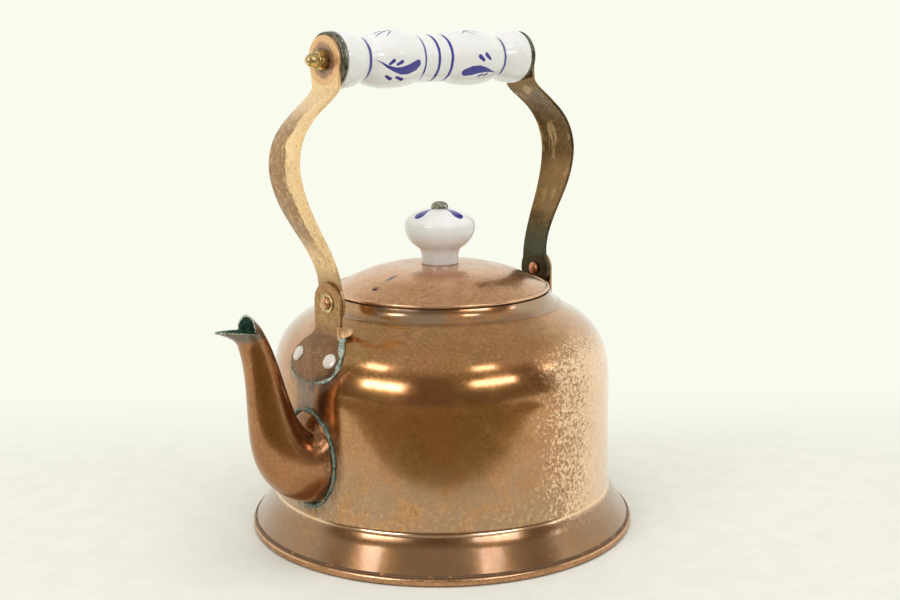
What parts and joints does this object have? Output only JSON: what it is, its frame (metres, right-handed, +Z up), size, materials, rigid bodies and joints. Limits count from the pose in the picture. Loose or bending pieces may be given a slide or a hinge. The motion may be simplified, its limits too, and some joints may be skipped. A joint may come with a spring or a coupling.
{
  "type": "kettle",
  "caption": "Round-shouldered copper kettle with a beaked spout, lift-off lid, ceramic knob and a swinging handle with a ceramic grip.",
  "frame": {"origin": "centre of the flat underside of the base", "axes": "+Z up along the body axis, spout towards -X, handle hinge line parallel to X"},
  "size_m": [0.238, 0.2, 0.2546],
  "materials": {
    "copper_body": "aged polished copper",
    "copper_base": "aged copper",
    "copper_spout": "aged polished copper",
    "copper_bracket": "dull aged copper",
    "copper_rivet": "aged copper",
    "copper_lid": "satin pink copper",
    "copper_lid_inner": "dull copper",
    "copper_strap": "tarnished copper strip",
    "brass": "aged brass",
    "dark_nickel": "tarnished plated brass",
    "solder": "dull soft solder",
    "rivet_alloy": "hammered",
    "screw_steel": "dull plated",
    "porcelain": "white glaze with hand-painted blue decoration"
  },
  "bodies": {
    "kettle": {"body_shell": "copper_body", "base_plate": "copper_base", "base_solder_seam": "solder", "spout": "copper_spout", "spout_solder_seam": "solder", "front_bracket": "copper_bracket", "rear_bracket": "copper_bracket", "bracket_rivets": "rivet_alloy", "pivot_rivets": "copper_rivet", "pivot_washers": "brass"},
    "lid": {"lid_shell": "copper_lid", "lid_collar": "copper_lid_inner", "lid_knob": "porcelain", "knob_screw": "screw_steel", "knob_washer": "brass", "knob_nut": "brass"},
    "handle": {"front_strap": "copper_strap", "rear_strap": "copper_strap", "grip": "porcelain", "grip_rod": "screw_steel", "front_end_cap": "dark_nickel", "rear_end_cap": "dark_nickel", "acorn_nuts": "brass"}
  },
  "joints": [
    {"name": "lid_lift", "type": "slide", "parent": "kettle", "child": "lid", "axis": [0, 0, 1], "range_m": [0, 0.045]},
    {"name": "handle_swing", "type": "hinge", "parent": "kettle", "child": "handle", "pos_m": [0, 0, 0.125], "axis": [1, 0, 0], "range_deg": [-91.5, 99.5]}
  ]
}
